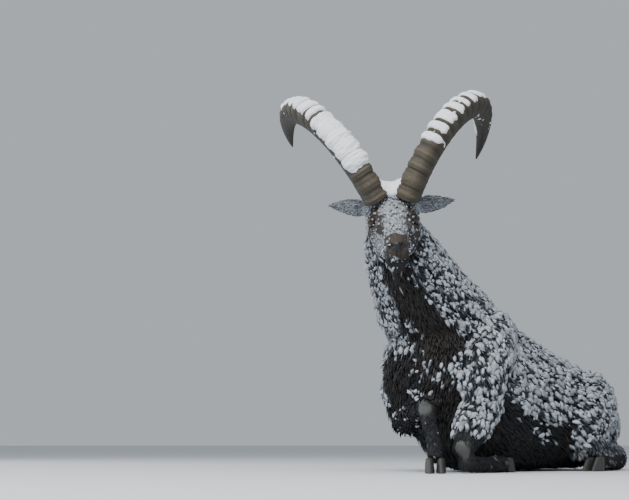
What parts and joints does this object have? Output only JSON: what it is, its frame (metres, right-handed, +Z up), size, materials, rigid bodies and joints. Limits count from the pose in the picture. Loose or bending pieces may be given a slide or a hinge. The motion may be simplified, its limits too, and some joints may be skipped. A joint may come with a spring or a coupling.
{
  "type": "alpine ibex model",
  "caption": "Life-size still model of an adult male alpine ibex in its winter coat, lying with its head raised, long ridged horns swept back.",
  "frame": {"origin": "on the floor, on the flat under the chest, between the elbows", "axes": "+Z up, -Y the way the body points, +X the animal's left side"},
  "size_m": [0.6794, 1.2454, 1.1167],
  "materials": {
    "coat": "long dark brown winter fur with white snow on the tips",
    "dark_coat": "short very dark brown fur",
    "horn": "ridged olive-grey horn with snow in the grooves",
    "hoof": "worn dark slate hoof",
    "eye": "glossy amber eye with a level dark pupil",
    "nose": "moist dark blue-grey bare skin"
  },
  "bodies": {
    "root": {"eye_left": "eye", "horn_left": "horn", "ear_left": "coat", "eye_right": "eye", "horn_right": "horn", "ear_right": "coat", "head": "coat", "beard": "dark_coat", "neck": "coat", "foreleg_left_toe_a": "hoof", "foreleg_left_dewclaw_a": "hoof", "foreleg_left_toe_b": "hoof", "foreleg_left_dewclaw_b": "hoof", "foreleg_left_shoulder": "coat", "foreleg_left_forearm": "dark_coat", "foreleg_left_cannon": "dark_coat", "foreleg_left_pastern": "dark_coat", "foreleg_right_toe_a": "hoof", "foreleg_right_dewclaw_a": "hoof", "foreleg_right_toe_b": "hoof", "foreleg_right_dewclaw_b": "hoof", "foreleg_right_shoulder": "coat", "foreleg_right_forearm": "dark_coat", "foreleg_right_cannon": "dark_coat", "foreleg_right_pastern": "dark_coat", "hindleg_left_toe_a": "hoof", "hindleg_left_dewclaw_a": "hoof", "hindleg_left_toe_b": "hoof", "hindleg_left_dewclaw_b": "hoof", "hindleg_left_thigh": "coat", "hindleg_left_shank": "dark_coat", "hindleg_left_cannon": "dark_coat", "hindleg_left_pastern": "dark_coat", "hindleg_right_toe_a": "hoof", "hindleg_right_dewclaw_a": "hoof", "hindleg_right_toe_b": "hoof", "hindleg_right_dewclaw_b": "hoof", "hindleg_right_thigh": "coat", "hindleg_right_shank": "dark_coat", "hindleg_right_cannon": "dark_coat", "hindleg_right_pastern": "dark_coat", "tail": "dark_coat", "trunk": "coat"}
  },
  "joints": []
}
